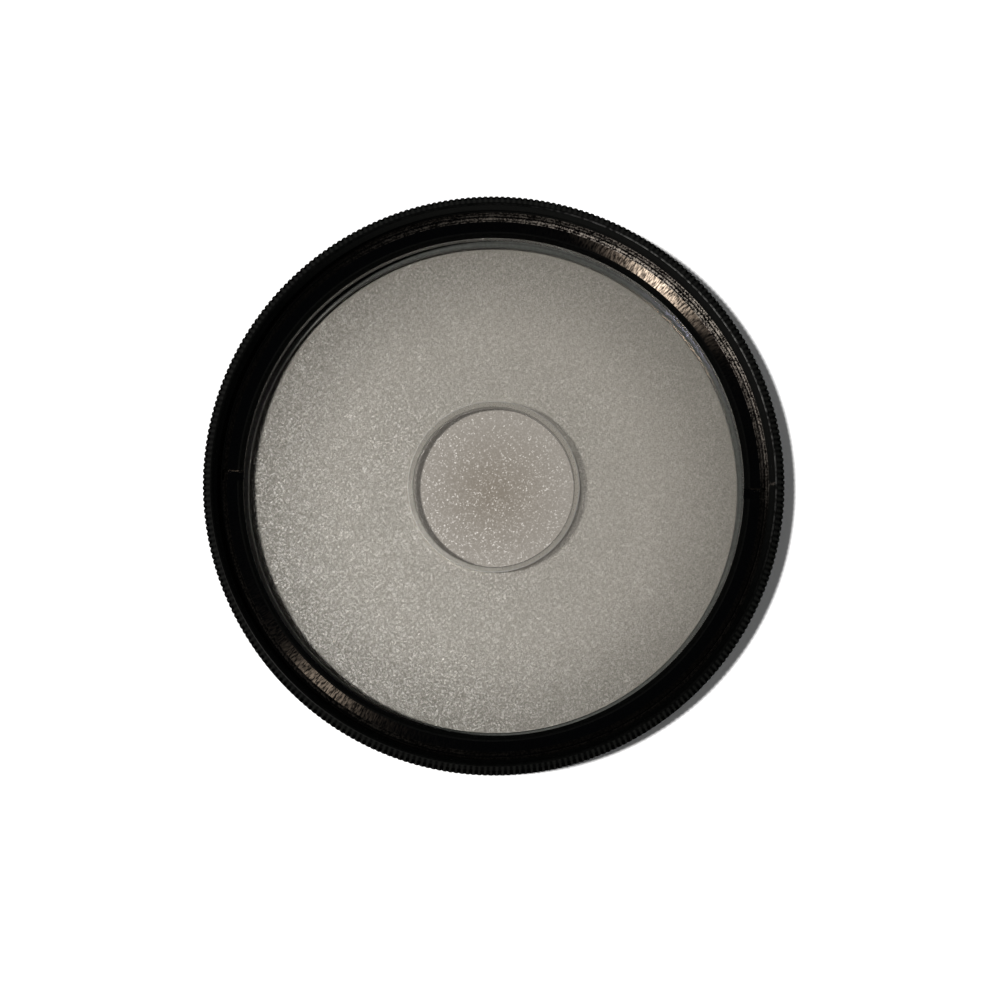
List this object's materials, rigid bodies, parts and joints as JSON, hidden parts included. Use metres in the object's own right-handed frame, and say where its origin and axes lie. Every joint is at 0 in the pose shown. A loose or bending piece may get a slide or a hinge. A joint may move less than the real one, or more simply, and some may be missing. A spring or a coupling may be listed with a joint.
{
  "type": "screw-in lens filter",
  "caption": "Round screw-in camera lens filter: knurled black frame, male rear and female front threads, clear coated glass with a drilled centre hole, slotted retaining ring.",
  "frame": {"origin": "middle of the rear end of the male thread, on the optical axis", "axes": "+Z along the optical axis, out of the front; +X towards one spanner slot, to 2 degrees"},
  "size_m": [0.0508, 0.0508, 0.0071],
  "materials": {
    "anodised_frame": "satin black anodised",
    "anodised_turned": "black anodised over fine turning marks",
    "coated_glass": "clear, with a faint purple coating reflection"
  },
  "bodies": {
    "root": {"filter_ring": "anodised_frame", "retaining_ring": "anodised_turned", "spot_glass": "coated_glass"}
  },
  "joints": []
}
